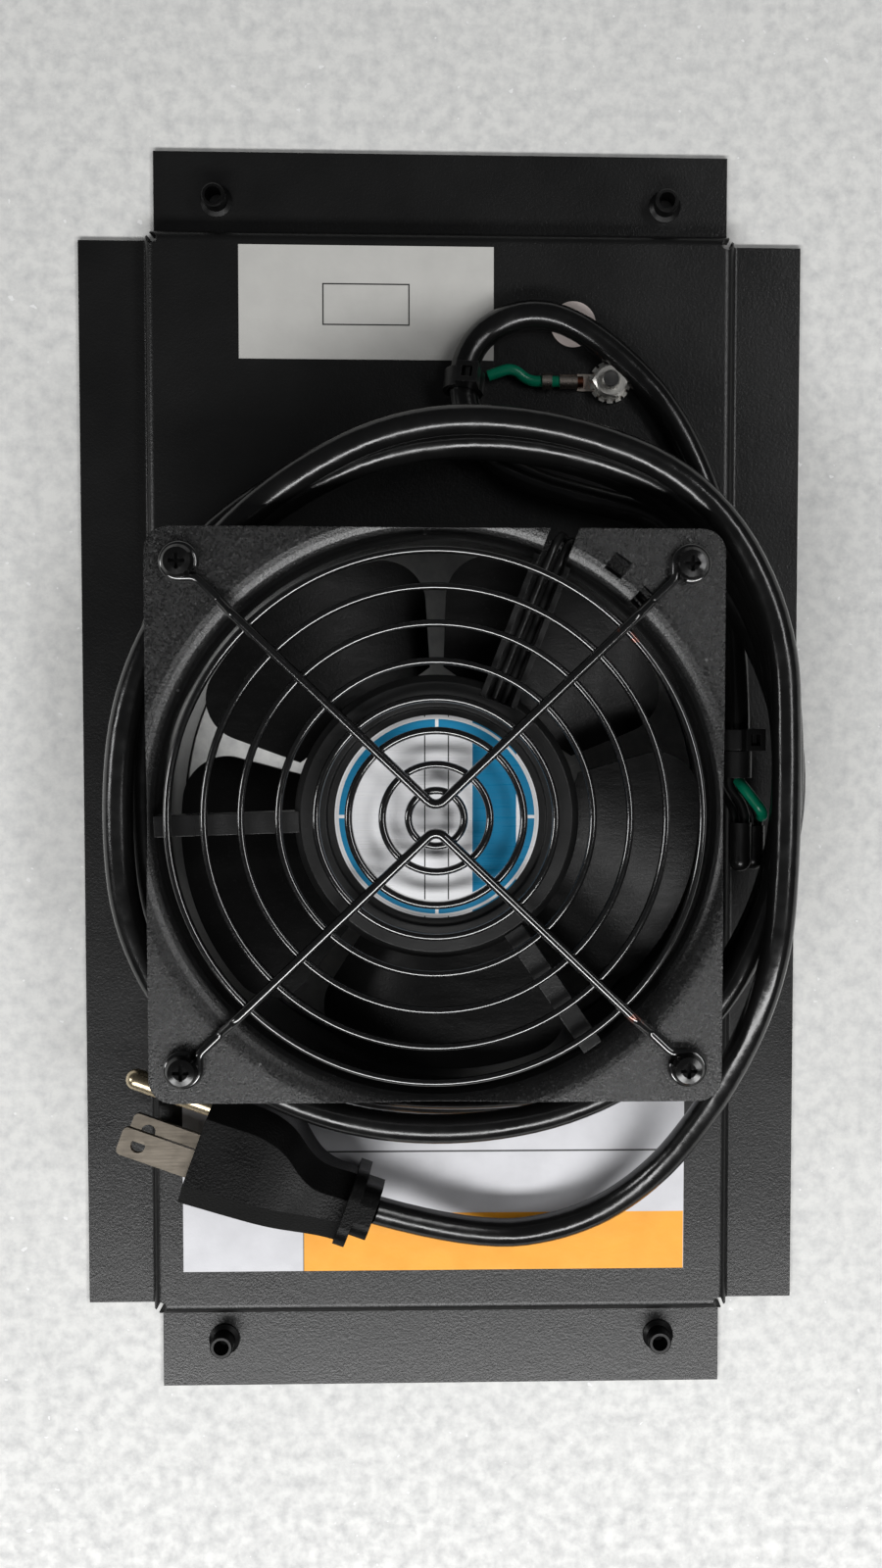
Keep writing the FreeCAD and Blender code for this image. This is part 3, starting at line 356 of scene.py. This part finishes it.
def motor_label():
    """Brushed silver foil with a teal rim and a teal block, and two bare rules."""
    block_left, block_right = 7.4 * MM, 16.5 * MM
    rim_inner, rim_outer = 17.8 * MM, 20.4 * MM
    s = Shader("silver_foil")
    x, y = s.fan_axes()
    radius = s.from_axis()
    brushed = s.noise(0.5 * MM, 3, place=s.stretched(0.04, 1, 1))
    foil = s.blend(brushed, colour(250, 250, 250), colour(222, 223, 227))
    teal = colour(16, 114, 154)
    block = s.inside(x, block_left, block_right)
    rules = s.math("MAXIMUM", s.near(x, -2.5 * MM, 0.12 * MM), s.near(x, 2.4 * MM, 0.12 * MM))
    rim = s.inside(radius, rim_inner, rim_outer)
    line = s.math("MAXIMUM", s.near(radius, 17.7 * MM, 0.2 * MM),
                  s.near(radius, 20.6 * MM, 0.3 * MM))
    to_axes = s.math("MINIMUM", s.math("ABSOLUTE", x), s.math("ABSOLUTE", y))
    tick = s.math("MULTIPLY", s.math("LESS_THAN", to_axes, 0.35 * MM), rim)
    tint = s.blend(rules, foil, grey(0.02))
    tint = s.blend(block, tint, teal)
    tint = s.blend(rim, tint, teal)
    tint = s.blend(tick, tint, grey(0.7))
    tint = s.blend(line, tint, grey(0.65))
    printed = s.math("MAXIMUM", s.math("MAXIMUM", rules, block), s.math("MAXIMUM", rim, line))
    s.set(Base_Color=tint, Metallic=s.pick(printed, 0.15, 0.0),
          Roughness=s.spread(brushed, 0.3, 0.7, 0.25, 0.4))
    s.bump((brushed, 0.01 * MM))
    return s.material


def cord_jacket(name, level, roughness):
    """Flexible PVC: glossy, with faint ripples."""
    s = Shader(name)
    ripple = s.noise(5 * MM, 2)
    skin = s.noise(0.35 * MM, 2)
    s.set(Base_Color=grey(level), Specular_IOR_Level=0.55,
          Roughness=s.spread(ripple, 0.3, 0.7, roughness - 0.04, roughness + 0.07))
    s.bump((skin, 0.012 * MM), (ripple, 0.12 * MM))
    return s.material


def green_insulation():
    """Green jacket, stripped to copper where the ground wire enters the ring terminal's barrel."""
    wire_low, wire_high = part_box("ground_wire")
    bare_x, bare_y = wire_high[0] - 2.1 * MM, wire_low[1] - 1 * MM
    s = Shader("wire_green")
    ripple = s.noise(3 * MM, 2)
    x, y, _ = s.axes()
    bare = s.math("MULTIPLY", s.math("GREATER_THAN", x, bare_x), s.math("GREATER_THAN", y, bare_y))
    skin = s.blend(ripple, colour(0, 112, 84), colour(0, 146, 108))
    s.set(Base_Color=s.blend(bare, skin, colour(150, 92, 70)), Metallic=bare, Roughness=0.3)
    s.bump((ripple, 0.06 * MM))
    return s.material


stud_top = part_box("ground_stud")[1][2]

finishes = {
    "powder_black": powder_coat(),
    "standoff_black": metal("standoff_black", grey(0.03), roughness=0.38, tarnish=0.4),
    "fan_black": cast_coat(),
    "guard_black": guard_wire(),
    "screw_black": moulded_black("screw_black", level=0.004, roughness=0.17, grain_size=1.2 * MM,
                                 grain_depth=0.012 * MM, edge=0.06 * MM),
    "bright_steel": metal("bright_steel", colour(226, 224, 218), roughness=0.36,
                          grain_depth=0.004 * MM, sawn_above=stud_top - 0.1 * MM),
    "tinned": metal("tinned", colour(232, 220, 208), roughness=0.29, grain_depth=0.004 * MM),
    "bearing_steel": metal("bearing_steel", colour(190, 190, 192), roughness=0.15),
    "tube_brass": metal("tube_brass", colour(178, 146, 84), roughness=0.3),
    "laminations": laminations(),
    "copper": windings(),
    "cup_steel": metal("cup_steel", colour(150, 150, 150), roughness=0.35),
    "cage": metal("cage", colour(170, 170, 172), roughness=0.4),
    "impeller_black": impeller_plastic(),
    "silver_foil": motor_label(),
    "silver_label": rating_label(),
    "white_label": panel_label(),
    "orange_label": plain_label("orange_label", colour(252, 170, 34)),
    "cord_black": cord_jacket("cord_black", level=0.005, roughness=0.2),
    "wire_black": cord_jacket("wire_black", level=0.007, roughness=0.3),
    "wire_green": green_insulation(),
    "nylon_black": moulded_black("nylon_black", level=0.008, roughness=0.36, grain_size=0.5 * MM,
                                 grain_depth=0.03 * MM),
    "plug_black": moulded_black("plug_black", level=0.0028, roughness=0.34, grain_size=0.5 * MM,
                                grain_depth=0.08 * MM, gloss=0.095),
    "blade_nickel": metal("blade_nickel", colour(134, 126, 115), roughness=0.31,
                          grain=(0.06, 1, 1), grain_depth=0.002 * MM, tarnish=0.7),
    "pin_brass": metal("pin_brass", colour(206, 190, 160), roughness=0.28,
                       grain_depth=0.001 * MM, tarnish=0.4),
}

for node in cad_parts.values():
    for place in node.material_slots:
        slot_name = place.material.name.split(".")[0]
        place.material = finishes[slot_name]


# ---------------------------------------------------------------- the cord
cord_diameter = 6.4 * MM

# control points in mm, from the plug up to the first turn
from_plug = [(-14.6, -95.5, 18.59), (8, -103.7, 13.6), (31, -101, 12.5), (48, -89, 17),
             (59.8, -71, 25.4), (67.8, -53, 32.6), (72.6, -36, 36.1), (74, -19, 36.5)]

# from the last turn through the first tie, in a loop over the panel, and through the second tie
to_splice = [(34, 63, 15.6), (20, 67, 14.2), (9, 73, 14.6), (5.1, 84.8, 14.1), (5.0, 93.2, 11.9),
             (9.3, 100.8, 10.7), (18.6, 105.2, 10.5), (29, 103.6, 10.5), (41.5, 94.5, 10.5),
             (51.5, 83.5, 10.5), (59, 68.5, 10.5), (64, 52, 10.5), (66, 34.5, 10.5),
             (66, 23.5, 14.2), (65.9, 15.5, 16.9), (65.9, 9, 17.4), (65.9, 2.2, 17.4)]

# the turns wind anticlockwise from the right and step down a layer on the left and at the bottom
full_turn = 360
coil_first = 4.0
coil_last = 3 * full_turn + 50.0
coil_step = 22.5
coil_top = 36.5
layer = 6.48
down_from = 90
down_over = 210

# the turns' reach from the tray's middle in mm, every 45 degrees
reach_step = 45
coil_reach = [74.4, 86.4, 78.6, 69.6, 68.6, 76.8, 75.4, 78.5,
              76.8, 84.0, 74.6, 68.9, 64.0, 71.5, 69.0, 77.0,
              77.6, 82.0, 74.8, 74.8, 66.5, 73.0, 72.0, 78.0,
              80.4, 77.6, 70.0]


def coil_point(angle):
    """A point of the winding, angle in degrees from the right."""
    share, index = math.modf(angle / reach_step)
    index = int(index)
    ease = (1 - math.cos(math.pi * share)) / 2
    reach = coil_reach[index] * (1 - ease) + coil_reach[index + 1] * ease
    turns, into = divmod(angle, full_turn)
    down = min(max((into - down_from) / down_over, 0), 1)
    turn = math.radians(angle)
    return (reach * math.cos(turn), reach * math.sin(turn), coil_top - layer * (turns + down))


coil_count = round((coil_last - coil_first) / coil_step)
coil = [coil_point(coil_first + step * (coil_last - coil_first) / coil_count)
        for step in range(coil_count + 1)]
cord_points = [tuple(v * MM for v in point) for point in from_plug + coil + to_splice]


def spline_curve(name, points, diameter):
    """A round tube along one open NURBS spline that reaches its end points."""
    curve = bpy.data.curves.new(name, "CURVE")
    curve.dimensions = "3D"
    curve.bevel_depth = diameter / 2
    curve.bevel_resolution = 6
    curve.resolution_u = 8
    curve.use_fill_caps = True
    spline = curve.splines.new("NURBS")
    spline.points.add(len(points) - 1)
    for control, point in zip(spline.points, points):
        control.co = (*point, 1)
    spline.order_u = 3
    spline.use_endpoint_u = True
    piece = bpy.data.objects.new(name, curve)
    bpy.context.scene.collection.objects.link(piece)
    return piece


cord = spline_curve("cord", cord_points, cord_diameter)
cord.data.materials.append(finishes["cord_black"])
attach(cord, "housing")
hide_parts("power_cord", "cord_coil", "cord_tail")


# ---------------------------------------------------------------- stage, light, camera
def studio_floor():
    """Pale stone, a hair below the tray's underside so that the two don't share a plane."""
    mesh = bpy.data.meshes.new("floor")
    half = 3.0
    mesh.from_pydata([(-half, -half, 0), (half, -half, 0), (half, half, 0), (-half, half, 0)],
                     [], [(0, 1, 2, 3)])
    floor = bpy.data.objects.new("floor", mesh)
    floor.location.z = -0.1 * MM
    bpy.context.scene.collection.objects.link(floor)
    s = Shader("floor_stone")
    cloud = s.noise(60 * MM, 5)
    grains = s.noise(3.5 * MM, 4, 0.65)
    crystals = s.math("GREATER_THAN", s.noise(2.4 * MM, 2), 0.73)
    stone = s.blend(cloud, colour(214, 214, 212), colour(226, 226, 223))
    stone = s.blend(s.spread(grains, 0.38, 0.7, 0, 0.6), stone, colour(176, 177, 178))
    s.set(Base_Color=s.blend(s.math("MULTIPLY", crystals, 0.8), stone, colour(236, 236, 236)),
          Roughness=s.spread(grains, 0.3, 0.7, 0.32, 0.55))
    mesh.materials.append(s.material)


def area_light(name, place, width, height, power, aim=(0, 0, 0)):
    """A rectangular lamp in metres and watts."""
    data = bpy.data.lights.new(name, "AREA")
    data.shape = "RECTANGLE"
    data.size = width
    data.size_y = height
    data.energy = power
    light = bpy.data.objects.new(name, data)
    light.location = place
    light.rotation_euler = (Vector(aim) - Vector(place)).to_track_quat("-Z", "Y").to_euler()
    bpy.context.scene.collection.objects.link(light)
    return light


def studio_camera():
    """The photo's camera, as fitted to the corners of the tray and the fan."""
    data = bpy.data.cameras.new("camera")
    data.sensor_width = 36
    data.lens = 42.2
    data.shift_x = -0.0744
    data.shift_y = -0.0023
    data.clip_start = 0.01
    camera = bpy.data.objects.new("camera", data)
    camera.location = (10.67 * MM, 23.92 * MM, 425.9 * MM)
    camera.rotation_euler = [math.radians(v) for v in (-3.231, -2.158, 0.179)]
    bpy.context.scene.collection.objects.link(camera)
    bpy.context.scene.camera = camera


studio_floor()
area_light("key", place=(0.0, -0.775, 1.035), width=1.7, height=0.27, power=19.5)
area_light("side", place=(0.64, 0.18, 0.95), width=0.7, height=0.2, power=3)
area_light("left", place=(-1.2, 0.0, 0.7), width=0.3, height=0.3, power=3)

# a small lamp inside the fan lights the floor seen between the blades on the left
gap_x, gap_y, gap_z = fan_centre[0] - 0.036, fan_centre[1] + 0.022, 0.013
under_fan = area_light("under_fan", place=(gap_x, gap_y, gap_z), width=0.03, height=0.03,
                       power=0.004, aim=(gap_x, gap_y, 0))
under_fan.visible_camera = False
under_fan.visible_glossy = False
studio_camera()

world = bpy.data.worlds.new("studio")
world.use_nodes = True
sky = world.node_tree.nodes["Background"].inputs
sky["Color"].default_value = (0.8, 0.82, 0.85, 1)
sky["Strength"].default_value = 0.05
bpy.context.scene.world = world
bpy.context.scene.view_settings.view_transform = "Standard"
